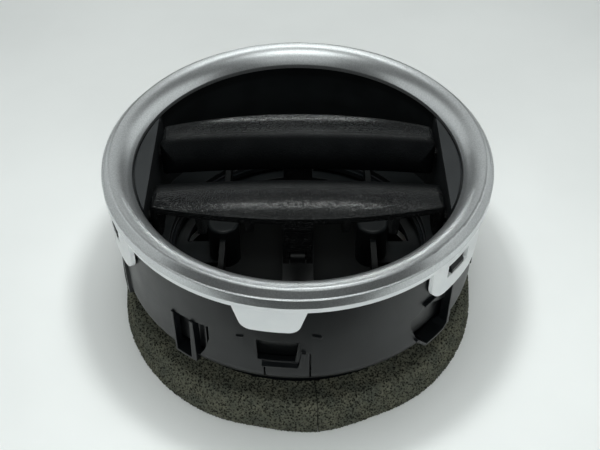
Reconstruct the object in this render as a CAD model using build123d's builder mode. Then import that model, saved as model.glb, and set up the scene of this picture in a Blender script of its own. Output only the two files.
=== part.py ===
from build123d import *
import os
from math import cos, degrees, radians, sin, sqrt

os.makedirs("parts", exist_ok=True)

# Round dashboard air vent with a turning barrel and two tilting fins.
# Millimetres. Z points out of the vent's face and X runs along the fins.
# The origin is the centre of the foam seal's resting face.

# Housing: an open drum with a floor, and a narrower collar behind the floor
housing_r = 46.0
housing_wall = 1.6
housing_top = 45.5
housing_turn = -7.5  # the housing stands this far round, in degrees, from the fins
pattern_turns = (0.0, 120.0, 240.0)
floor_base = 16.5
floor_thick = 1.5
floor_corner = 5.5
track_width = 3.3
collar_set_in = 7.0
collar_wall = 2.2
collar_end = 1.5
socket_step = 0.6
socket_depth = 9.5

# Housing wall features, as (along the wall, up from the housing's base) seen from outside
cut_margin = 0.4
inner_set_in = 0.9
pocket_turn = 1.9
pocket_window = [(-4.9, 17.0), (4.8, 17.0), (3.9, 10.1), (-4.7, 10.1)]
pocket_side = [(4.9, 9.7), (5.5, 13.6), (6.4, 13.6), (5.6, 8.4), (4.6, 8.4)]
pocket_reach = 0.6
sill_shift = 0.4
sill_width = 8.4
sill_base = 8.2
sill_flat = 0.4
sill_height = 1.4
slit_width = 0.4
slit_end = 3.4
finger_slits = [(-3.4, 8.2), (7.2, 12.9)]
tick_mark = [(7.8, 19.6), (9.9, 18.8), (9.9, 18.2), (7.8, 19.0)]
faint_mark = [(-9.6, 17.2), (-7.9, 17.5), (-7.9, 17.1), (-9.6, 16.8)]
mark_reach = 0.3
slot_turn = -24.9
slot_left = [(-5.0, 16.2), (-0.1, 16.4), (-0.6, 2.6), (-5.1, 2.6)]
slot_right = [(0.9, 16.4), (4.9, 16.8), (4.9, 12.7), (3.2, 7.5), (1.5, 4.4), (0.9, 4.4)]
slot_strip = [(3.0, 16.7), (3.5, 16.7), (3.5, 8.6), (3.0, 7.5)]
slot_frame = [(-5.7, 16.2), (-5.0, 16.2), (-5.1, 2.6), (-0.6, 2.6), (-0.1, 16.4), (0.9, 16.4), (0.9, 1.9),
              (-5.6, 1.9)]
slot_reach = 0.5
recess_turn = 51.5
recess_window = [(-3.4, 18.4), (6.4, 18.4), (6.4, 3.6), (5.0, 2.4), (-1.5, 2.4), (-4.8, 6.4), (-7.0, 11.8),
                 (-7.2, 14.4), (-5.2, 15.3), (-3.8, 16.4)]
recess_plate = [(0.6, 18.4), (6.4, 18.4), (6.4, 11.6), (1.4, 14.2)]
recess_brow = [(-3.9, 18.0), (1.0, 19.0), (1.0, 18.4), (-3.7, 17.4)]
recess_lip = [(-4.8, 6.4), (-1.5, 2.4), (5.0, 2.4), (6.4, 3.6), (6.4, 2.9), (5.3, 1.8), (-1.9, 1.8),
              (-5.3, 6.0)]
recess_rib = [(6.4, 18.0), (7.5, 18.0), (7.5, 2.6), (6.4, 2.9)]
recess_reach = 0.8
wedge_width = 5.0
wedge_height = 3.0
wedge_flat = 1.0
wedge_play = 0.15

# Foam seal round the collar
foam_width = 9.0
foam_taper = 1.1
foam_height = 10.0
foam_edge = 2.2
foam_clearance = 0.3
foam_joint_angle = -84.0
foam_joint_gap = 0.4

# Clip ring: a flange between bezel and housing, with tabs outside the wall
clip_lip = 0.1
clip_flange_thick = 1.3
clip_bore_set = 0.2
tab_clearance = 0.4
tab_thick = 1.0
plain_tab_drop = 6.9
plain_tab_top_half = 8.8
plain_tab_end_half = 6.3
plain_tab_corner = 2.8
window_tab_drop = 9.9
window_tab_half = 10.2
window_tab_corner = 5.0
tab_window_width = 8.6
tab_window_height = 3.9
tab_window_shift = -0.7
tab_window_drop = 3.2

# Bezel ring
bezel_overhang = 2.0
rim_edge = 2.6
shadow_gap = 0.6
rim_step = 0.5
crest_in = 1.7
crest_height = 1.9
crest_fillet = 0.7
face_width = 5.4
face_bulge = 0.9
face_wall = 1.7
lip_drop = 2.0
lip_thick = 1.1
lip_shelf = 2.2
foot_width = 1.3
spigot_wall = 0.6
spigot_depth = 1.1
spigot_clearance = 0.1

# Barrel, turning inside the housing
run_clearance = 0.3
glide_thick = 1.0
glide_width = 6.0
barrel_wall = 1.4
barrel_corner = 2.4
barrel_side_gap = 0.8
barrel_lip_gap = 0.9
barrel_flange_width = 7.7
barrel_flange_thick = 1.5
web_x = 19.8
web_thick = 1.6
web_height = 4.6
boss_r = 4.2
boss_height = 5.7
boss_edge = 0.8

# Cheeks, the inserts on each side of the fins
cheek_depth = 5.7
cheek_wall = 1.6
cheek_sink = 0.5
cheek_gap = 0.6
cheek_seat_gap = 0.2
cheek_cap_thick = 1.2

# Fins: moulded shells with a rolled inner edge and a crisp outer edge, ribbed behind
fin_end_gap = 0.6
fin_rise = 0.8
fin_inner_y = 5.0
fin_crest_y = 9.6
fin_mid_y = 15.8
fin_mid_drop = 0.5
fin_edge_y = 20.0
fin_edge_drop = 1.5
fin_edge_slope = 0.28
fin_end_edge_y = 15.0
fin_crown_r = 370.0
fin_skin = 1.8
fin_corner_outer = 2.6
fin_corner_inner = 6.0
fin_end_roll = 3.0
fin_end_lift = 0.05
fin_hub_wall = 1.2
fin_rib_slope = 0.5
fin_rib_thick = 1.6
fin_bays = 3  # hollow bays between the fork and each end
pivot_y = 12.0
pivot_drop = 8.0

# Fin pins and their bushes
pin_r = 1.5
pin_reach = 2.0
pin_clearance = 0.05
bush_wall = 1.0
bush_length = 2.4
bush_boss_wall = 1.3

# Link bar and the forks it sits in
link_arm = 14.3
link_width = 3.8
link_side_gap = 0.3
link_height = 2.2
link_pin_r = 1.0
link_eye_r = 2.0
link_mouth = 1.5
fork_wall = 1.6
fork_r = 2.0
fork_slot_height = 3.6

# Rear retainer, its pads and its screws
pad_thick = 1.2
pad_length = 9.0
pad_width = 3.0
retainer_thick = 1.6
retainer_gap = 0.5
retainer_width = 5.4
spine_width = 8.4
ear_width = 8.0
screw_r = 1.3
screw_head_r = 2.9
screw_head_height = 1.6
screw_length = 9.0
screw_clearance = 0.05
driver_slot_width = 0.8
driver_slot_depth = 0.9
driver_slot_r = 1.7

# Sizes that follow from those above
housing_inner_r = housing_r - housing_wall
floor_top = floor_base + floor_thick
collar_r = housing_r - collar_set_in
collar_inner_r = collar_r - collar_wall
socket_r = collar_inner_r + socket_step
track_r = collar_inner_r - track_width
foam_inner_r = collar_r + foam_clearance
foam_base_r = foam_inner_r + foam_width
foam_top_r = foam_base_r - foam_taper
tab_inner_r = housing_r + tab_clearance
tab_outer_r = tab_inner_r + tab_thick
tab_window_z = housing_top - tab_window_drop
clip_top = housing_top + clip_flange_thick
clip_bore_r = housing_inner_r + clip_bore_set
bezel_r = housing_r + bezel_overhang
rim_base = clip_top + shadow_gap
rim_top = rim_base + rim_edge
crest_r = bezel_r - crest_in
lip_r = crest_r - face_width
lip_z = rim_top - lip_drop
barrel_r = housing_inner_r - barrel_side_gap
barrel_inner_r = barrel_r - barrel_wall
barrel_base = floor_top + glide_thick + run_clearance
barrel_top = lip_z - lip_thick - barrel_lip_gap
flange_top = barrel_base + barrel_flange_thick
cheek_top = lip_z - cheek_sink
cheek_r = barrel_inner_r - cheek_seat_gap
cheek_cap_r = lip_r - cheek_gap
cheek_x = cheek_r - cheek_depth
fin_crest_z = cheek_top + fin_rise
fin_half = cheek_x - fin_end_gap
pivot_z = fin_crest_z - pivot_drop
link_z = pivot_z - link_arm
bush_bore_r = pin_r + pin_clearance
bush_r = bush_bore_r + bush_wall
pad_top = floor_base - run_clearance
retainer_top = pad_top - pad_thick
retainer_r = collar_inner_r - retainer_gap
retainer_inner_r = retainer_r - retainer_width


def wall_plane(azimuth):
    """Plane through the axis that faces outwards at an azimuth, with Z as its local Y."""
    turn = radians(azimuth)
    return Plane(origin=(0, 0, 0), x_dir=(-sin(turn), cos(turn), 0), z_dir=(cos(turn), sin(turn), 0))


def radial_plane(azimuth):
    """Plane that holds the axis, with the radius at an azimuth as its local X and Z as its local Y."""
    turn = radians(azimuth)
    return Plane(origin=(0, 0, 0), x_dir=(cos(turn), sin(turn), 0), z_dir=(sin(turn), -cos(turn), 0))


def wall_patch(azimuth, corners, inner_r, outer_r, rounding=0.0, window=None):
    """Piece of a round wall behind a flat outline, as seen from outside at that azimuth."""
    with BuildPart() as patch:
        with BuildSketch(wall_plane(azimuth)) as outline:
            with BuildLine():
                Polyline(*corners, close=True)
            make_face()
            if rounding:
                fillet(outline.vertices().group_by(Axis.Y)[0], rounding)
            if window:
                place, size = window
                with Locations(place):
                    Rectangle(*size, mode=Mode.SUBTRACT)
        extrude(amount=outer_r + 1)
        height = patch.part.bounding_box()
        with BuildSketch(Plane.XY.offset(height.min.Z - 1)):
            Circle(outer_r)
            Circle(inner_r, mode=Mode.SUBTRACT)
        extrude(amount=height.size.Z + 2, mode=Mode.INTERSECT)
    return patch.part


def housing_patch(turn, outline, inner_r, outer_r):
    """Wall patch whose outline is measured up from the housing's base."""
    corners = [(along, floor_base + up) for along, up in outline]
    return wall_patch(housing_turn - 90 + turn, corners, inner_r, outer_r)


def wall_wedge(azimuth, base, flat, height, tip_r, width):
    """Wedge on the housing's wall, flat below and sloping back to the wall above."""
    root_r = housing_r - housing_wall / 2
    with BuildPart() as wedge:
        with BuildSketch(radial_plane(azimuth)):
            with BuildLine():
                Polyline((root_r, base), (tip_r, base), (tip_r, base + flat), (housing_r, base + height),
                         (root_r, base + height), close=True)
            make_face()
        extrude(amount=width / 2, both=True)
    return wedge.part


def finish(builder, name):
    """Label a finished piece and write it."""
    builder.part.label = name
    export_step(builder.part, f"parts/{name}.step")


# Housing: the wall, floor and collar are one revolved section, and its features come three times round
windows = [(pocket_turn, pocket_window), (slot_turn, slot_left), (slot_turn, slot_right),
           (recess_turn, recess_window)]
for along, up in finger_slits:
    slit = [(along, up), (along + slit_width, up), (along + slit_width, slit_end), (along, slit_end)]
    windows.append((pocket_turn, slit))
raised = [(pocket_turn, pocket_side, pocket_reach), (pocket_turn, tick_mark, mark_reach),
          (pocket_turn, faint_mark, mark_reach), (slot_turn, slot_frame, slot_reach),
          (slot_turn, slot_strip, -inner_set_in), (recess_turn, recess_plate, -inner_set_in),
          (recess_turn, recess_brow, recess_reach), (recess_turn, recess_lip, recess_reach),
          (recess_turn, recess_rib, recess_reach)]
cut_inner_r = housing_r - floor_corner - cut_margin
cut_outer_r = housing_r + cut_margin
housing_cuts = []
housing_raised = []
for turn in pattern_turns:
    for side_turn, outline in windows:
        housing_cuts.append(housing_patch(turn + side_turn, outline, cut_inner_r, cut_outer_r))
    for side_turn, outline, reach in raised:
        housing_raised.append(housing_patch(turn + side_turn, outline, housing_inner_r, housing_r + reach))
    sill_azimuth = housing_turn - 90 + turn + pocket_turn + degrees(sill_shift / housing_r)
    housing_raised.append(wall_wedge(sill_azimuth, floor_base + sill_base, sill_flat, sill_height,
                                     housing_r + pocket_reach, sill_width))
    catch_azimuth = housing_turn - 30 + turn + degrees(tab_window_shift / housing_r)
    catch_base = tab_window_z - tab_window_height / 2 + wedge_play
    housing_raised.append(wall_wedge(catch_azimuth, catch_base, wedge_flat, wedge_height,
                                     tab_outer_r - clip_lip, wedge_width))

with BuildPart() as housing:
    with BuildSketch(Plane.XZ) as housing_section:
        with BuildLine():
            Polyline((housing_inner_r, floor_top), (housing_inner_r, housing_top), (housing_r, housing_top),
                     (housing_r, floor_base), (collar_r, floor_base), (collar_r, collar_end),
                     (socket_r, collar_end), (socket_r, collar_end + socket_depth),
                     (collar_inner_r, collar_end + socket_depth), (collar_inner_r, floor_base),
                     (track_r, floor_base), (track_r, floor_top), close=True)
        make_face()
        fillet(housing_section.vertices().sort_by_distance((housing_r, floor_base))[0], floor_corner)
        fillet(housing_section.vertices().sort_by_distance((housing_inner_r, floor_top))[0],
               floor_corner - housing_wall)
    revolve(axis=Axis.Z)
    add(housing_cuts, mode=Mode.SUBTRACT)
    add(housing_raised)
finish(housing, "housing")

# Foam seal: cut from sheet, wrapped round the collar and butted at the front
with BuildPart() as foam_seal:
    with BuildSketch(Plane.XZ) as foam_section:
        with BuildLine():
            Polyline((foam_inner_r, 0), (foam_base_r, 0), (foam_top_r, foam_height),
                     (foam_inner_r, foam_height), close=True)
        make_face()
        fillet(foam_section.vertices().sort_by_distance((foam_top_r, foam_height))[0], foam_edge)
    revolve(axis=Axis.Z)
    with BuildSketch(wall_plane(foam_joint_angle)):
        with Locations((0, foam_height / 2)):
            Rectangle(foam_joint_gap, 2 * foam_height)
    extrude(amount=foam_base_r + foam_width, mode=Mode.SUBTRACT)
finish(foam_seal, "foam_seal")

# Clip ring: one white moulding, with plain and windowed tabs by turns
tabs = []
for turn in pattern_turns:
    plain_corners = [(-plain_tab_top_half, clip_top), (plain_tab_top_half, clip_top),
                     (plain_tab_end_half, housing_top - plain_tab_drop),
                     (-plain_tab_end_half, housing_top - plain_tab_drop)]
    tabs.append(wall_patch(housing_turn - 90 + turn, plain_corners, tab_inner_r, tab_outer_r, plain_tab_corner))
    window_corners = [(-window_tab_half, clip_top), (window_tab_half, clip_top),
                      (window_tab_half, housing_top - window_tab_drop),
                      (-window_tab_half, housing_top - window_tab_drop)]
    window = ((tab_window_shift, tab_window_z), (tab_window_width, tab_window_height))
    tabs.append(wall_patch(housing_turn - 30 + turn, window_corners, tab_inner_r, tab_outer_r,
                           window_tab_corner, window))

with BuildPart() as clip_ring:
    with BuildSketch(Plane.XY.offset(housing_top)):
        Circle(tab_outer_r + clip_lip)
        Circle(clip_bore_r, mode=Mode.SUBTRACT)
    extrude(amount=clip_flange_thick)
    add(tabs)
finish(clip_ring, "clip_ring")

# Bezel ring: a thin shell of revolution, with a foot on the clip ring and a spigot in its bore
crest_z = rim_top + crest_height
chord_length = sqrt((crest_r - lip_r) ** 2 + (crest_z - lip_z) ** 2)
bulge_r = (crest_r + lip_r) / 2 - face_bulge * (crest_z - lip_z) / chord_length
bulge_z = (crest_z + lip_z) / 2 + face_bulge * (crest_r - lip_r) / chord_length
spigot_r = clip_bore_r - spigot_clearance
spigot_inner_r = spigot_r - spigot_wall
foot_r = clip_bore_r + foot_width

with BuildPart() as bezel_ring:
    with BuildSketch(Plane.XZ) as bezel_section:
        with BuildLine():
            Polyline((lip_r, lip_z), (lip_r, lip_z - lip_thick), (lip_r + lip_shelf, lip_z - lip_thick),
                     (spigot_inner_r, rim_top - face_wall), (spigot_inner_r, clip_top - spigot_depth),
                     (spigot_r, clip_top - spigot_depth), (spigot_r, clip_top), (foot_r, clip_top),
                     (foot_r, rim_base), (bezel_r, rim_base), (bezel_r, rim_top),
                     (bezel_r - rim_step, rim_top), (crest_r, crest_z))
            ThreePointArc((crest_r, crest_z), (bulge_r, bulge_z), (lip_r, lip_z))
        make_face()
        fillet(bezel_section.vertices().sort_by(Axis.Y)[-1], crest_fillet)
    revolve(axis=Axis.Z)
finish(bezel_ring, "bezel_ring")

# Glide ring on the housing's floor
glide_outer_r = housing_r - floor_corner - run_clearance
with BuildPart() as glide_ring:
    with BuildSketch(Plane.XY.offset(floor_top)):
        Circle(glide_outer_r)
        Circle(glide_outer_r - glide_width, mode=Mode.SUBTRACT)
    extrude(amount=glide_thick)
finish(glide_ring, "glide_ring")

# Barrel: drum wall, lower flange, two webs and a screw boss on each web
boss_top = flange_top + boss_height
web_half = sqrt(barrel_inner_r ** 2 - (web_x + web_thick) ** 2)
with BuildPart() as barrel:
    with BuildSketch(Plane.XY.offset(barrel_base)):
        Circle(barrel_r)
        Circle(barrel_inner_r, mode=Mode.SUBTRACT)
    extrude(amount=barrel_top - barrel_base)
    with BuildSketch(Plane.XY.offset(barrel_base)):
        Circle(barrel_r)
        Circle(barrel_inner_r - barrel_flange_width, mode=Mode.SUBTRACT)
    extrude(amount=barrel_flange_thick)
    base_edges = barrel.edges().filter_by(GeomType.CIRCLE).group_by(Axis.Z)[0]
    fillet(base_edges.sort_by(SortBy.RADIUS)[-1], barrel_corner)
    with BuildSketch(Plane.XY.offset(barrel_base)):
        with Locations((-web_x, 0), (web_x, 0)):
            Rectangle(web_thick, 2 * web_half)
    extrude(amount=web_height)
    with BuildSketch(Plane.XY.offset(retainer_top)):
        with Locations((-web_x, 0), (web_x, 0)):
            Circle(boss_r)
    extrude(amount=boss_top - retainer_top)
    boss_edges = barrel.edges().filter_by(GeomType.CIRCLE).filter_by_position(Axis.Z, boss_top, boss_top)
    fillet(boss_edges, boss_edge)
    with BuildSketch(Plane.XY.offset(retainer_top)):
        with Locations((-web_x, 0), (web_x, 0)):
            Circle(screw_r + screw_clearance)
    extrude(amount=screw_length, mode=Mode.SUBTRACT)
finish(barrel, "barrel")


def cheek(side):
    """Hollow insert that fills the side of the barrel and carries two fin bushes."""
    half_depth = cheek_r - cheek_x
    middle_x = side * (cheek_x + half_depth)
    with BuildPart() as made:
        with BuildSketch(Plane.XY.offset(flange_top)):
            Circle(cheek_r)
        extrude(amount=barrel_top - flange_top)
        with BuildSketch(Plane.XY.offset(barrel_top)):
            Circle(cheek_cap_r)
        extrude(amount=cheek_top - barrel_top)
        with BuildSketch(Plane.XY.offset(flange_top)):
            with Locations((middle_x, 0)):
                Rectangle(2 * half_depth, 2 * cheek_r)
        extrude(amount=cheek_top - flange_top, mode=Mode.INTERSECT)
        with BuildSketch(Plane.XY.offset(flange_top)):
            Circle(cheek_r - cheek_wall)
            with Locations((middle_x + side * cheek_wall, 0)):
                Rectangle(2 * half_depth, 2 * cheek_r, mode=Mode.INTERSECT)
        extrude(amount=barrel_top - cheek_cap_thick - flange_top, mode=Mode.SUBTRACT)
        with BuildSketch(Plane.YZ.offset(side * cheek_x)):
            with Locations((pivot_y, pivot_z), (-pivot_y, pivot_z)):
                Circle(bush_r + bush_boss_wall)
        extrude(amount=side * bush_length)
        with BuildSketch(Plane.YZ.offset(side * cheek_x)):
            with Locations((pivot_y, pivot_z), (-pivot_y, pivot_z)):
                Circle(bush_r)
        extrude(amount=side * bush_length, mode=Mode.SUBTRACT)
        with BuildSketch(Plane.XY.offset(flange_top)):
            Circle(cheek_r)
        extrude(amount=cheek_top - flange_top, mode=Mode.INTERSECT)
    return made


left_cheek = cheek(-1)
finish(left_cheek, "left_cheek")
right_cheek = cheek(1)
finish(right_cheek, "right_cheek")

# Bushes: one sleeve in each of the four bores, numbered left then right, upper then lower
bush_places = [(-1, 1), (-1, -1), (1, 1), (1, -1)]
for number, (side, half) in enumerate(bush_places, start=1):
    with BuildPart() as fin_bush:
        with BuildSketch(Plane.YZ.offset(side * cheek_x)):
            with Locations((half * pivot_y, pivot_z)):
                Circle(bush_r)
                Circle(bush_bore_r, mode=Mode.SUBTRACT)
        extrude(amount=side * bush_length)
    finish(fin_bush, f"fin_bush_{number}")


def crown_angle(x):
    """Angle on the fin's crown circle, in degrees, at a place along the fin."""
    return degrees(x / fin_crown_r)


def crowned(draw_section, start_x, end_x):
    """Fin section revolved about a far axis, so that the fin falls gently towards its ends."""
    axis_z = fin_crest_z - fin_crown_r
    turn = radians(crown_angle(start_x))
    section_plane = Plane(origin=(0, 0, axis_z), x_dir=(0, 1, 0), z_dir=(cos(turn), 0, -sin(turn)))
    with BuildPart() as made:
        with BuildSketch(section_plane):
            with BuildLine():
                draw_section()
            make_face()
        turned = crown_angle(end_x) - crown_angle(start_x)
        revolve(axis=Axis((0, 0, axis_z), (0, 1, 0)), revolution_arc=turned)
    return made.part


# Fin sections are drawn at their distance from the crown axis, so their top is the crown radius
fin_over = 1.8
fin_tip = (fin_edge_y + fin_over, fin_crown_r - fin_edge_drop - fin_over * fin_edge_slope)
keel_z = fin_crown_r - pivot_drop - pin_r - fin_hub_wall
roll_r = fin_crest_y - fin_inner_y


def rolled_edge(radius, top):
    """Quarter round from the crest down to the fin's inner side."""
    across = radius * sin(radians(45))
    middle = (fin_crest_y - across, top - radius + across)
    ThreePointArc((fin_crest_y, top), middle, (fin_crest_y - radius, top - radius))


def full_section():
    """Outline of the whole fin: front skin, rolled inner edge, and a belly round the pivot behind."""
    tip_rear = (fin_tip[0], fin_tip[1] - fin_skin)
    Spline(fin_tip, (fin_mid_y, fin_crown_r - fin_mid_drop), (fin_crest_y, fin_crown_r),
           tangents=((-1, fin_edge_slope), (-1, 0)))
    rolled_edge(roll_r, fin_crown_r)
    Spline((fin_inner_y, fin_crown_r - roll_r), (pivot_y, keel_z), tangents=((0, -1), (1, 0)))
    Spline((pivot_y, keel_z), tip_rear, tangents=((1, 0), (1, fin_rib_slope)))
    Line(tip_rear, fin_tip)


def core_section():
    """Outline of what is hollow between two ribs, open on the fin's rear side."""
    top = fin_crown_r - fin_skin
    wall_y = fin_inner_y + fin_skin
    wall_top = top - roll_r + fin_skin
    far_y = fin_tip[0] + fin_over
    far_z = top - fin_edge_drop - 2 * fin_over * fin_edge_slope
    open_z = keel_z - fin_over
    Spline((far_y, far_z), (fin_mid_y, top - fin_mid_drop), (fin_crest_y, top),
           tangents=((-1, fin_edge_slope), (-1, 0)))
    rolled_edge(roll_r - fin_skin, top)
    Polyline((wall_y, wall_top), (wall_y, open_z), (far_y, open_z), (far_y, far_z))


fin_overrun = 2.0
fork_inner_x = link_width / 2 + link_side_gap
fork_outer_x = fork_inner_x + fork_wall
rib_places = [fin_half * number / fin_bays for number in range(1, fin_bays)]
bay_starts = [fork_outer_x] + [place + fin_rib_thick / 2 for place in rib_places]
bay_ends = [place - fin_rib_thick / 2 for place in rib_places] + [fin_half - fin_rib_thick]
fin_body = crowned(full_section, -fin_half - fin_overrun, fin_half + fin_overrun)
fin_cores = []
for start, end in zip(bay_starts, bay_ends):
    fin_cores.append(crowned(core_section, start, end))
    fin_cores.append(crowned(core_section, -end, -start))

# Upper fin: the crowned body trimmed to its plan and rounded at its ends, then the fork and the pins
plan_inner_y = fin_inner_y - fin_end_gap / 2
trim_base = link_z - 2 * fork_r
trim_top = fin_crest_z + fin_end_lift
end_drop = fin_crown_r - sqrt(fin_crown_r ** 2 - fin_half ** 2)
fork_top = link_z + fork_slot_height
slot_span = fork_slot_height + 2 * fork_r
with BuildPart() as upper_fin:
    add(fin_body)
    with BuildSketch(Plane.XY.offset(trim_base)) as plan:
        with BuildLine():
            Polyline((-fin_half, fin_end_edge_y), (-fin_half, plan_inner_y), (fin_half, plan_inner_y),
                     (fin_half, fin_end_edge_y))
            ThreePointArc((fin_half, fin_end_edge_y), (0, fin_edge_y), (-fin_half, fin_end_edge_y))
        make_face()
        fillet(plan.vertices().group_by(Axis.Y)[-1], fin_corner_outer)
        fillet(plan.vertices().group_by(Axis.Y)[0], fin_corner_inner)
    extrude(amount=2 * (fin_crest_z - trim_base), mode=Mode.INTERSECT)
    with BuildSketch(Plane.XZ) as elevation:
        with BuildLine():
            Polyline((-fin_half, trim_top - end_drop), (-fin_half, trim_base), (fin_half, trim_base),
                     (fin_half, trim_top - end_drop))
            ThreePointArc((fin_half, trim_top - end_drop), (0, trim_top), (-fin_half, trim_top - end_drop))
        make_face()
        fillet(elevation.vertices().group_by(Axis.Y)[-1], fin_end_roll)
    extrude(amount=2 * fin_edge_y, both=True, mode=Mode.INTERSECT)
    add(fin_cores, mode=Mode.SUBTRACT)
    with BuildSketch(Plane.YZ.offset(-fork_outer_x)):
        with Locations((pivot_y, link_z)):
            Circle(fork_r)
        with Locations((pivot_y, link_z + link_arm / 2)):
            Rectangle(2 * fork_r, link_arm)
    extrude(amount=2 * fork_outer_x)
    with BuildSketch(Plane.YZ.offset(-fork_inner_x)):
        with Locations((pivot_y, fork_top - slot_span / 2)):
            Rectangle(4 * fork_r, slot_span)
    extrude(amount=2 * fork_inner_x, mode=Mode.SUBTRACT)
    with BuildSketch(Plane.YZ.offset(-fork_outer_x)):
        with Locations((pivot_y, link_z)):
            Circle(link_pin_r)
    extrude(amount=2 * fork_outer_x)
    pin_length = fin_end_gap + pin_reach
    for start_x in (-fin_half - pin_length, fin_half - fin_rib_thick / 2):
        with BuildSketch(Plane.YZ.offset(start_x)):
            with Locations((pivot_y, pivot_z)):
                Circle(pin_r)
        extrude(amount=pin_length + fin_rib_thick / 2)
finish(upper_fin, "upper_fin")

with BuildPart() as lower_fin:
    mirror(upper_fin.part, about=Plane.XZ)
finish(lower_fin, "lower_fin")

# Link bar: two snap-on eyes on the fins' rear pins
with BuildPart() as fin_link:
    with BuildSketch(Plane.YZ.offset(-link_width / 2)):
        with Locations((0, link_z)):
            Rectangle(2 * pivot_y, link_height)
        with Locations((pivot_y, link_z), (-pivot_y, link_z)):
            Circle(link_eye_r)
        with Locations((pivot_y, link_z), (-pivot_y, link_z)):
            Circle(link_pin_r + pin_clearance, mode=Mode.SUBTRACT)
        with Locations((pivot_y, link_z - link_eye_r), (-pivot_y, link_z - link_eye_r)):
            Rectangle(link_mouth, 2 * link_eye_r, mode=Mode.SUBTRACT)
    extrude(amount=link_width)
finish(fin_link, "fin_link")

# Rear retainer: a ring with ears under the bosses and a spine across
ear_start = web_x
ear_end = retainer_inner_r + retainer_width / 2
with BuildPart() as rear_retainer:
    with BuildSketch(Plane.XY.offset(retainer_top - retainer_thick)):
        Circle(retainer_r)
        Circle(retainer_inner_r, mode=Mode.SUBTRACT)
        for side in (-1, 1):
            with Locations((side * (ear_start + ear_end) / 2, 0)):
                Rectangle(ear_end - ear_start, ear_width)
            with Locations((side * web_x, 0)):
                Circle(boss_r)
        Rectangle(spine_width, 2 * retainer_inner_r + retainer_width)
        with Locations((-web_x, 0), (web_x, 0)):
            Circle(screw_r + screw_clearance, mode=Mode.SUBTRACT)
    extrude(amount=retainer_thick)
finish(rear_retainer, "rear_retainer")

# Brake pads on the retainer, rubbing on the floor's rear face
pad_r = (track_r + retainer_r) / 2
for number, turn in enumerate(pattern_turns, start=1):
    with BuildPart() as brake_pad:
        with BuildSketch(Plane.XY.offset(retainer_top)):
            with PolarLocations(pad_r, 1, start_angle=turn + 90):
                Rectangle(pad_width, pad_length)
        extrude(amount=pad_thick)
    finish(brake_pad, f"brake_pad_{number}")

# Retainer screws
head_top = retainer_top - retainer_thick
for side, name in ((-1, "retainer_screw_left"), (1, "retainer_screw_right")):
    with BuildPart() as screw:
        with BuildSketch(Plane.XY.offset(head_top)):
            with Locations((side * web_x, 0)):
                Circle(screw_head_r)
        extrude(amount=-screw_head_height)
        with BuildSketch(Plane.XY.offset(head_top)):
            with Locations((side * web_x, 0)):
                Circle(screw_r)
        extrude(amount=screw_length)
        with BuildSketch(Plane.XY.offset(head_top - screw_head_height)):
            with Locations((side * web_x, 0)):
                Rectangle(2 * driver_slot_r, driver_slot_width)
                Rectangle(driver_slot_width, 2 * driver_slot_r)
        extrude(amount=driver_slot_depth, mode=Mode.SUBTRACT)
    finish(screw, name)
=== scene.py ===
import math

import bmesh
import bpy
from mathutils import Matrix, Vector, noise


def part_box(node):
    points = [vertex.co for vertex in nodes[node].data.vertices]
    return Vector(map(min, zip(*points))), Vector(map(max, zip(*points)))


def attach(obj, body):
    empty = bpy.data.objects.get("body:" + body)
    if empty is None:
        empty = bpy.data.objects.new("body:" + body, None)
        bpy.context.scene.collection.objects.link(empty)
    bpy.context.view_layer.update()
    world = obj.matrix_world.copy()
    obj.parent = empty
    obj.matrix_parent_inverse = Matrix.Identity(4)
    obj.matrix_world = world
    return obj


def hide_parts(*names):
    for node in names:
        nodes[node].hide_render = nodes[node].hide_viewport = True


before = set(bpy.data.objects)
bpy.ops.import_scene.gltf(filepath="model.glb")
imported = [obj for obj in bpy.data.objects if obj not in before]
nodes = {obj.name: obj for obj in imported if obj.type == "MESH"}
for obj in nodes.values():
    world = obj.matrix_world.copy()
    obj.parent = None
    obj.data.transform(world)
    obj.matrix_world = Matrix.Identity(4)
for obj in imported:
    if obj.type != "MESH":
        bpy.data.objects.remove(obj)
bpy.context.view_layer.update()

# Dashboard air vent, dressed for the photograph: a silver bezel, a white clip ring, a black housing
# with a foam seal, and a turning barrel with two linked fins. Everything is in metres.


# Housing: the black moulded drum that holds the whole vent, with its catch windows and snap wedges.
# It is injection-moulded polypropylene, semi-gloss from a fine spark-eroded mould, a little dusty.
# The clip ring snaps over its wedges and the foam seal is glued round its rear collar.
mm = 0.001


def linear(colour):
    """sRGB hex colour as linear red, green, blue and alpha."""
    values = [int(colour[i:i + 2], 16) / 255 for i in (1, 3, 5)]
    return [v / 12.92 if v <= 0.04045 else ((v + 0.055) / 1.055) ** 2.4 for v in values] + [1.0]


def add_node(material, kind, settings=None, inputs=None):
    """Add a node to a material, set its properties, and give its inputs a value or another node's output."""
    node = material.node_tree.nodes.new(kind)
    for name, value in (settings or {}).items():
        setattr(node, name, value)
    for name, value in (inputs or {}).items():
        if isinstance(value, bpy.types.NodeSocket):
            material.node_tree.links.new(value, node.inputs[name])
        else:
            node.inputs[name].default_value = value
    return node


def new_material(name, roughness=0.5, metallic=0.0, ior=1.5):
    """A material with its shader, and the place on the object that its patterns are drawn by."""
    material = bpy.data.materials.new(name)
    material.use_nodes = True
    shader = material.node_tree.nodes["Principled BSDF"]
    shader.inputs["Roughness"].default_value = roughness
    shader.inputs["Metallic"].default_value = metallic
    shader.inputs["IOR"].default_value = ior
    place = add_node(material, "ShaderNodeTexCoord").outputs["Object"]
    return material, shader, place


def per_metre(size_mm):
    """Texture scale whose features are about this many millimetres wide."""
    return 1.0 / (size_mm * mm)


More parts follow.
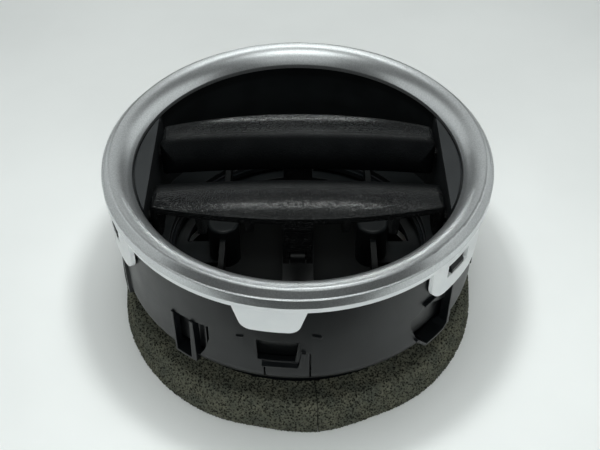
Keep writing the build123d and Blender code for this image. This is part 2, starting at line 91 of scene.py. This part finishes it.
def mottled(material, place, colours, size_mm, detail=3.0):
    """Colour that drifts between two hex colours over patches of a size."""
    patches = add_node(material, "ShaderNodeTexNoise", None,
                       {"Vector": place, "Scale": per_metre(size_mm), "Detail": detail})
    ramp = add_node(material, "ShaderNodeValToRGB", None, {"Fac": patches.outputs["Fac"]})
    for stop, position, colour in zip(ramp.color_ramp.elements, (0.35, 0.65), colours):
        stop.position = position
        stop.color = linear(colour)
    return ramp.outputs["Color"]


def mould_grain(material, place, grain_mm, height_mm, edge_mm=0.0):
    """Surface normal of a mould's fine grain, with the small rounding that a mould leaves on edges."""
    grain = add_node(material, "ShaderNodeTexNoise", None,
                     {"Vector": place, "Scale": per_metre(grain_mm), "Detail": 2.0})
    bump_inputs = {"Height": grain.outputs["Fac"], "Distance": height_mm * mm, "Strength": 1.0}
    if edge_mm:
        edge = add_node(material, "ShaderNodeBevel", {"samples": 6}, {"Radius": edge_mm * mm})
        bump_inputs["Normal"] = edge.outputs["Normal"]
    return add_node(material, "ShaderNodeBump", None, bump_inputs).outputs["Normal"]


def finish_node(name, material):
    """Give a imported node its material."""
    mesh = nodes[name].data
    mesh.materials.clear()
    mesh.materials.append(material)


# Semi-gloss black polypropylene: the eye sees a soft sheen that breaks up where dust and handling lie.
housing_plastic, shader, place = new_material("semi_gloss_black_polypropylene", ior=1.49)
link = housing_plastic.node_tree.links.new
link(mottled(housing_plastic, place, ("#0a0c0e", "#101315"), size_mm=9.0), shader.inputs["Base Color"])
dust_patch_mm = 6.0
sheen_patches = add_node(housing_plastic, "ShaderNodeTexNoise", None,
                         {"Vector": place, "Scale": per_metre(dust_patch_mm), "Detail": 4.0})
wiped_roughness, dusty_roughness = 0.28, 0.44
sheen_range = add_node(housing_plastic, "ShaderNodeMapRange", None,
                       {"Value": sheen_patches.outputs["Fac"],
                        "To Min": wiped_roughness, "To Max": dusty_roughness})
link(sheen_range.outputs["Result"], shader.inputs["Roughness"])
shader.inputs["Specular IOR Level"].default_value = 0.33
link(mould_grain(housing_plastic, place, grain_mm=0.35, height_mm=0.010, edge_mm=0.25), shader.inputs["Normal"])
finish_node("housing", housing_plastic)


# Foam seal: a strip of open-cell polyurethane foam, wrapped round the collar and butted at the front.
# Its skin is cut, so every cell is open, and its two ends push each other out into a shallow point.
# It is glued to the collar and squeezed against the duct's flange.
foam_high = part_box("foam_seal")[1]
foam_base_r = foam_high.x
foam_height = foam_high.z
foam_taper = 1.1 * mm
foam_edge = 2.2 * mm
foam_inner_r = 39.3 * mm
foam_joint = math.radians(-84.0)
foam_slit = 0.25 * mm
foam_steps = 1250
top_steps, edge_steps, side_steps = 20, 10, 27
edge_top, edge_turn = 90, 84
base_inset = 0.45 * mm
flank_depth = 0.9 * mm
flank_away, flank_spread = 0.30, 0.20
cell_mm = 0.62
cell_size = cell_mm * mm
cell_depth = 0.55 * mm
wall_sharpness = 2.2
small_cell_share, small_cell_depth = 0.45, 0.25
rim_slope = 0.9


def foam_outline():
    """Section of the foam as radius, height and openness of its cells, from the inner top to the inner base."""
    outline = []
    top_flat = foam_base_r - foam_taper - foam_edge
    edge_low = foam_height - foam_edge
    for i in range(top_steps):
        outline.append((foam_inner_r + (top_flat - foam_inner_r) * i / top_steps, foam_height, 1.0))
    for i in range(edge_steps):
        turn = math.radians(edge_top - edge_turn * i / edge_steps)
        outline.append((top_flat + foam_edge * math.cos(turn), edge_low + foam_edge * math.sin(turn), 1.0))
    for i in range(side_steps):
        down = i / side_steps
        outline.append((foam_base_r - foam_taper * (1 - down), edge_low * (1 - down), 1.0))
    outline.append((foam_base_r - base_inset, 0.0, 0.0))
    outline.append(((foam_base_r + foam_inner_r) / 2, 0.0, 0.0))
    outline.append((foam_inner_r, 0.0, 0.0))
    outline.append((foam_inner_r, foam_height / 2, 0.0))
    return outline


def cell_pit(point):
    """How deep the cut surface lies below the skin at a point, from open cells of two sizes."""
    near, far = noise.voronoi(point / cell_size)[0][:2]
    coarse = max(0.0, 1.0 - (far - near) * wall_sharpness)
    small = noise.noise(point / (cell_size * small_cell_share)) * small_cell_depth
    return cell_depth * max(0.0, min(1.0, 1.0 - coarse + small))


def build_foam():
    """Ring of cut foam with open cells, a slit at its joint and flattened flanks beside the joint."""
    outline = foam_outline()
    rows = []
    mesh = bmesh.new()
    slit_angle = foam_slit / foam_base_r
    for step in range(foam_steps + 1):
        share = step / foam_steps
        turn = foam_joint + slit_angle / 2 + share * (2 * math.pi - slit_angle)
        away = min(share, 1 - share) * 2 * math.pi
        flank = flank_depth * math.exp(-((away - flank_away) / flank_spread) ** 2)
        row = []
        for radius, height, openness in outline:
            lift = (radius - foam_inner_r) / (foam_base_r - foam_inner_r)
            r = radius - flank * lift
            point = Vector((r * math.cos(turn), r * math.sin(turn), height))
            depth = cell_pit(point) * openness
            sink = -rim_slope if height > foam_height - foam_edge else 0.0
            inward = Vector((-math.cos(turn), -math.sin(turn), sink))
            if height == foam_height:
                inward = Vector((0, 0, -1))
            row.append(mesh.verts.new(point + inward.normalized() * depth))
        rows.append(row)
    for a, b in zip(rows, rows[1:]):
        for i in range(len(a)):
            j = (i + 1) % len(a)
            mesh.faces.new((a[i], a[j], b[j], b[i]))
    mesh.faces.new(rows[0])
    mesh.faces.new(list(reversed(rows[-1])))
    bmesh.ops.recalc_face_normals(mesh, faces=mesh.faces[:])
    data = bpy.data.meshes.new("open_cell_foam_seal")
    mesh.to_mesh(data)
    mesh.free()
    piece = bpy.data.objects.new("open_cell_foam_seal", data)
    bpy.context.scene.collection.objects.link(piece)
    return piece


# Polyurethane foam: the eye sees a dry, matte grey-brown, with painted shade that makes it nearly black inside
# each open cell.
foam_material, shader, place = new_material("open_cell_polyurethane_foam", roughness=0.95, ior=1.45)
link = foam_material.node_tree.links.new
shader.inputs["Specular IOR Level"].default_value = 0.2
pores = add_node(foam_material, "ShaderNodeTexVoronoi", {"feature": "F1"},
                 {"Vector": place, "Scale": per_metre(cell_mm), "Randomness": 1.0})
# Painted shade: the colour darkens towards the middle of each cell, where the open cells lie in shade.
painted_pore_shade = add_node(foam_material, "ShaderNodeMapRange", {"interpolation_type": "SMOOTHSTEP"},
                      {"Value": pores.outputs["Distance"], "From Min": 0.15, "From Max": 0.66,
                       "To Min": 0.12, "To Max": 2.10})
foam_colour = add_node(foam_material, "ShaderNodeVectorMath", {"operation": "SCALE"},
                       {"Vector": mottled(foam_material, place, ("#3f413a", "#4d4d43"), size_mm=5.0, detail=4.0),
                        "Scale": painted_pore_shade.outputs["Result"]})
link(foam_colour.outputs["Vector"], shader.inputs["Base Color"])
link(mould_grain(foam_material, place, grain_mm=0.3, height_mm=0.10), shader.inputs["Normal"])
foam_piece = build_foam()
foam_piece.data.materials.append(foam_material)
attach(foam_piece, "housing")
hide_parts("foam_seal")


# Barrel: the drum that turns inside the housing, with webs and screw bosses across its rear.
# It is black injection-moulded ABS from a smooth mould, and gives the eye a dim grey sheen on its webs.
# It runs on the glide ring and is held in by the rear retainer.
barrel_plastic, shader, place = new_material("moulded_black_abs", roughness=0.38, ior=1.53)
link = barrel_plastic.node_tree.links.new
link(mottled(barrel_plastic, place, ("#0d0f10", "#131516"), size_mm=8.0), shader.inputs["Base Color"])
link(mould_grain(barrel_plastic, place, grain_mm=0.3, height_mm=0.006, edge_mm=0.25), shader.inputs["Normal"])
for name in ("barrel", "fin_link", "rear_retainer"):
    finish_node(name, barrel_plastic)


# Glide ring and fin bushes: bearing parts of acetal, between the moving pieces.
# The acetal is dark grey, smooth and slightly waxy, so that nothing pale meets the eye inside the vent.
# The ring lies loose on the housing's floor and the bushes are pressed into the cheeks.
acetal, shader, place = new_material("dark_acetal", roughness=0.40, ior=1.48)
link = acetal.node_tree.links.new
link(mottled(acetal, place, ("#17181a", "#1f2022"), size_mm=4.0), shader.inputs["Base Color"])
link(mould_grain(acetal, place, grain_mm=0.4, height_mm=0.004, edge_mm=0.1), shader.inputs["Normal"])
for name in ["glide_ring"] + [f"fin_bush_{number}" for number in range(1, 5)]:
    finish_node(name, acetal)


# Cheeks: the inserts on each side of the fins, which carry the fins' bushes.
# They are ABS with a matte eroded surface, which gives the eye a flat grey without a highlight.
# Each one is clipped into the barrel.
cheek_plastic, shader, place = new_material("matte_eroded_abs", roughness=0.46, ior=1.53)
link = cheek_plastic.node_tree.links.new
link(mottled(cheek_plastic, place, ("#191b1d", "#1f2123"), size_mm=7.0), shader.inputs["Base Color"])
link(mould_grain(cheek_plastic, place, grain_mm=0.28, height_mm=0.012, edge_mm=0.3), shader.inputs["Normal"])
for name in ("left_cheek", "right_cheek"):
    finish_node(name, cheek_plastic)


# Fins: two wide moulded blades, hollow behind with ribs, that steer the air up and down.
# They are ABS with a leather grain, which glints in a band along each fin and is dull at its rolled inner edge.
# End pins run in the cheeks' bushes and a bar behind joins the two.
fin_plastic, shader, place = new_material("leather_grained_abs", ior=1.53)
link = fin_plastic.node_tree.links.new
fin_axes = add_node(fin_plastic, "ShaderNodeSeparateXYZ", None, {"Vector": place})
from_middle = add_node(fin_plastic, "ShaderNodeMath", {"operation": "ABSOLUTE"}, {"Value": fin_axes.outputs["Y"]})
dull_roughness, glossy_roughness = 0.60, 0.14
fin_roughness = add_node(fin_plastic, "ShaderNodeMapRange", {"interpolation_type": "SMOOTHSTEP"},
                         {"Value": from_middle.outputs["Value"], "From Min": 8.5 * mm, "From Max": 11.5 * mm,
                          "To Min": dull_roughness, "To Max": glossy_roughness})
link(fin_roughness.outputs["Result"], shader.inputs["Roughness"])
dull_shine, full_shine = 0.02, 0.5
fin_shine = add_node(fin_plastic, "ShaderNodeMapRange", {"interpolation_type": "SMOOTHSTEP"},
                     {"Value": from_middle.outputs["Value"], "From Min": 8.0 * mm, "From Max": 11.0 * mm,
                      "To Min": dull_shine, "To Max": full_shine})
link(fin_shine.outputs["Result"], shader.inputs["Specular IOR Level"])
link(mottled(fin_plastic, place, ("#090a0b", "#0d0e0f"), size_mm=6.0), shader.inputs["Base Color"])
grain_mm = 0.55
grain_height = 0.10 * mm
fin_rounding = 0.4 * mm
leather = add_node(fin_plastic, "ShaderNodeTexVoronoi", {"feature": "DISTANCE_TO_EDGE"},
                   {"Vector": place, "Scale": per_metre(grain_mm), "Randomness": 1.0})
pebbles = add_node(fin_plastic, "ShaderNodeMapRange", {"interpolation_type": "SMOOTHSTEP"},
                   {"Value": leather.outputs["Distance"], "From Min": 0.0, "From Max": 0.18})
leather_edge = add_node(fin_plastic, "ShaderNodeBevel", {"samples": 6}, {"Radius": fin_rounding})
fin_bump = add_node(fin_plastic, "ShaderNodeBump", None,
                    {"Height": pebbles.outputs["Result"], "Distance": grain_height, "Strength": 1.0,
                     "Normal": leather_edge.outputs["Normal"]})
link(fin_bump.outputs["Normal"], shader.inputs["Normal"])
for name in ("upper_fin", "lower_fin"):
    finish_node(name, fin_plastic)


# Brake pads and retainer screws: felt pads give the barrel its drag, and two screws hold the retainer.
# The pads are pressed wool felt, glued down, which gives the eye a dark fuzz without any shine.
felt, shader, place = new_material("pressed_wool_felt", roughness=0.97)
link = felt.node_tree.links.new
link(mottled(felt, place, ("#2b2b2c", "#3a3a3b"), size_mm=0.4, detail=5.0), shader.inputs["Base Color"])
link(mould_grain(felt, place, grain_mm=0.2, height_mm=0.08), shader.inputs["Normal"])
for number in range(1, 4):
    finish_node(f"brake_pad_{number}", felt)

# Zinc-plated steel: the screws' bright metal, with small patches that catch the light.
zinc, shader, place = new_material("zinc_plated_steel", roughness=0.32, metallic=1.0)
link = zinc.node_tree.links.new
link(mottled(zinc, place, ("#a9abad", "#c2c4c6"), size_mm=1.5), shader.inputs["Base Color"])
link(mould_grain(zinc, place, grain_mm=0.2, height_mm=0.004, edge_mm=0.1), shader.inputs["Normal"])
for name in ("retainer_screw_left", "retainer_screw_right"):
    finish_node(name, zinc)


# Clip ring: one white moulding between bezel and housing, whose tabs snap over the housing's wedges.
# It is unpainted cool white polypropylene, smooth, with a soft shine that the eye reads as clean and new.
# It sits on the housing and carries the bezel.
white_plastic, shader, place = new_material("white_polypropylene", roughness=0.33, ior=1.49)
link = white_plastic.node_tree.links.new
link(mottled(white_plastic, place, ("#eff2f4", "#f6f8f9"), size_mm=8.0), shader.inputs["Base Color"])
link(mould_grain(white_plastic, place, grain_mm=0.5, height_mm=0.004, edge_mm=0.2), shader.inputs["Normal"])
finish_node("clip_ring", white_plastic)


# Bezel: the ring that the driver sees, with a rim, a steep outer wall and a convex face.
# It is moulded ABS sprayed with a satin silver paint, whose metal flakes give it a soft, grainy shine.
# Its foot stands on the clip ring, with a spigot in the ring's bore.
silver_paint, shader, place = new_material("satin_silver_paint", roughness=0.31, metallic=0.9)
link = silver_paint.node_tree.links.new
link(mottled(silver_paint, place, ("#c0c2c4", "#d2d4d6"), size_mm=0.35, detail=2.0), shader.inputs["Base Color"])
link(mould_grain(silver_paint, place, grain_mm=0.22, height_mm=0.006, edge_mm=0.2), shader.inputs["Normal"])
finish_node("bezel_ring", silver_paint)


# Stage: a plain pale table, a small lamp close above, soft boxes all round, and a dim studio with a pale backdrop.
# Three lamps light the surfaces evenly, and the others show only where a surface mirrors them.
table_half = 0.7
table_mesh = bpy.data.meshes.new("table")
table_corners = [(-table_half, -table_half, 0), (table_half, -table_half, 0),
                 (table_half, table_half, 0), (-table_half, table_half, 0)]
table_mesh.from_pydata(table_corners, [], [(0, 1, 2, 3)])
table = bpy.data.objects.new("table", table_mesh)
bpy.context.scene.collection.objects.link(table)
table_material, shader, place = new_material("pale_table", roughness=0.6)
link = table_material.node_tree.links.new
link(mottled(table_material, place, ("#edeeee", "#f2f3f3"), size_mm=60.0), shader.inputs["Base Color"])
shader.inputs["Specular IOR Level"].default_value = 0.2
table_mesh.materials.append(table_material)

# A black card on the table inside the collar, as painted shade: it stands in for the deeply shaded table under the
# vent, because nothing pale shows through the vent.
painted_shade_card_r = 36.5 * mm
painted_shade_card_top = 0.3 * mm
painted_shade_card_mesh = bpy.data.meshes.new("painted_shade_card")
painted_shade_card_rim = [(painted_shade_card_r * math.cos(math.radians(turn)), painted_shade_card_r * math.sin(math.radians(turn)), painted_shade_card_top)
            for turn in range(0, 360, 5)]
painted_shade_card_mesh.from_pydata(painted_shade_card_rim, [], [tuple(range(len(painted_shade_card_rim)))])
painted_shade_card = bpy.data.objects.new("painted_shade_card", painted_shade_card_mesh)
bpy.context.scene.collection.objects.link(painted_shade_card)
card_material, shader, place = new_material("matte_black_card", roughness=0.9)
link = card_material.node_tree.links.new
link(mottled(card_material, place, ("#0b0c0c", "#0f1010"), size_mm=10.0), shader.inputs["Base Color"])
painted_shade_card_mesh.materials.append(card_material)

# A second black card lies in front, outside the picture, where the photographer stood over the table: partly the
# photographer's own dark shape, partly painted shade for the shade cast on the table there. Only mirrored rays see
# it, so it paints dark reflections and the table stays pale from every side.
front_half, front_near, front_far, front_top = 0.5, -0.60, -0.070, 0.001
front_corners = [(-front_half, front_near, front_top), (front_half, front_near, front_top),
                 (front_half, front_far, front_top), (-front_half, front_far, front_top)]
front_mesh = bpy.data.meshes.new("front_card")
front_mesh.from_pydata(front_corners, [], [(0, 1, 2, 3)])
front_card = bpy.data.objects.new("front_card", front_mesh)
bpy.context.scene.collection.objects.link(front_card)
front_mesh.materials.append(card_material)
front_card.visible_camera = False
front_card.visible_diffuse = False
front_card.visible_shadow = False


lamp_tint = (0.95, 1.0, 0.98)


def soft_lamp(name, place, aim, width, depth, watts, mirrored):
    """Rectangular soft lamp that faces a point. It either shows in shiny surfaces or lights them evenly."""
    lamp = bpy.data.lights.new(name, "AREA")
    lamp.shape = "RECTANGLE"
    lamp.size = width
    lamp.size_y = depth
    lamp.energy = watts
    lamp.color = lamp_tint
    holder = bpy.data.objects.new(name, lamp)
    holder.location = place
    holder.rotation_euler = (Vector(aim) - Vector(place)).to_track_quat("-Z", "Y").to_euler()
    holder.visible_camera = False
    holder.visible_glossy = mirrored
    holder.visible_diffuse = not mirrored
    bpy.context.scene.collection.objects.link(holder)


soft_lamp("near_lamp", place=(-0.0016, -0.0154, 0.193), aim=(-0.0016, -0.0154, 0.0),
          width=0.022, depth=0.016, watts=0.125, mirrored=False)
soft_lamp("key_box", place=(0.0, 0.02, 0.75), aim=(0.0, 0.0, 0.03),
          width=0.5, depth=0.4, watts=3.35, mirrored=False)
soft_lamp("front_fill", place=(0.0, -0.62, 0.50), aim=(0.0, 0.0, 0.03),
          width=0.5, depth=0.3, watts=2.0, mirrored=False)
soft_lamp("front_box", place=(0.0, -0.47, 0.56), aim=(0.0, 0.0, 0.05),
          width=0.55, depth=0.50, watts=0.50, mirrored=True)
soft_lamp("left_box", place=(-0.70, 0.15, 0.31), aim=(0.0, 0.0, 0.10),
          width=1.1, depth=0.60, watts=1.5, mirrored=True)
soft_lamp("right_box", place=(0.70, 0.15, 0.31), aim=(0.0, 0.0, 0.10),
          width=1.1, depth=0.60, watts=1.65, mirrored=True)
soft_lamp("top_box", place=(0.0, -0.104, 0.64), aim=(0.0, 0.0, 0.05),
          width=0.28, depth=0.20, watts=0.62, mirrored=True)
soft_lamp("rear_box", place=(0.0, 0.61, 0.56), aim=(0.0, 0.0, 0.05),
          width=1.0, depth=0.25, watts=0.45, mirrored=True)
soft_lamp("upper_strip", place=(0.0, 0.205, 0.496), aim=(0.0, -0.016, 0.047),
          width=0.19, depth=0.06, watts=0.24, mirrored=True)
soft_lamp("lower_strip", place=(-0.012, 0.503, 0.158), aim=(0.0, 0.016, 0.047),
          width=0.18, depth=0.015, watts=0.12, mirrored=True)
world = bpy.data.worlds.new("dim_studio")
world.use_nodes = True
world.node_tree.nodes["Background"].inputs["Color"].default_value = linear("#f2f4f5")
studio_level, backdrop_level = 0.02, 0.72
light_path = add_node(world, "ShaderNodeLightPath")
backdrop = add_node(world, "ShaderNodeMapRange", None,
                    {"Value": light_path.outputs["Is Camera Ray"],
                     "To Min": studio_level, "To Max": backdrop_level})
world.node_tree.links.new(backdrop.outputs["Result"], world.node_tree.nodes["Background"].inputs["Strength"])
bpy.context.scene.world = world

# Camera: fitted to the outlines of the bezel and the foam in the photograph.
camera_lens = bpy.data.cameras.new("camera")
camera_lens.lens = 55.48
camera_lens.sensor_width = 36.0
camera = bpy.data.objects.new("camera", camera_lens)
camera.location = (0.00057, -0.17505, 0.19781)
camera.rotation_euler = (math.radians(45.412), 0, 0)
bpy.context.scene.collection.objects.link(camera)
bpy.context.scene.camera = camera
bpy.context.scene.view_settings.view_transform = "Standard"
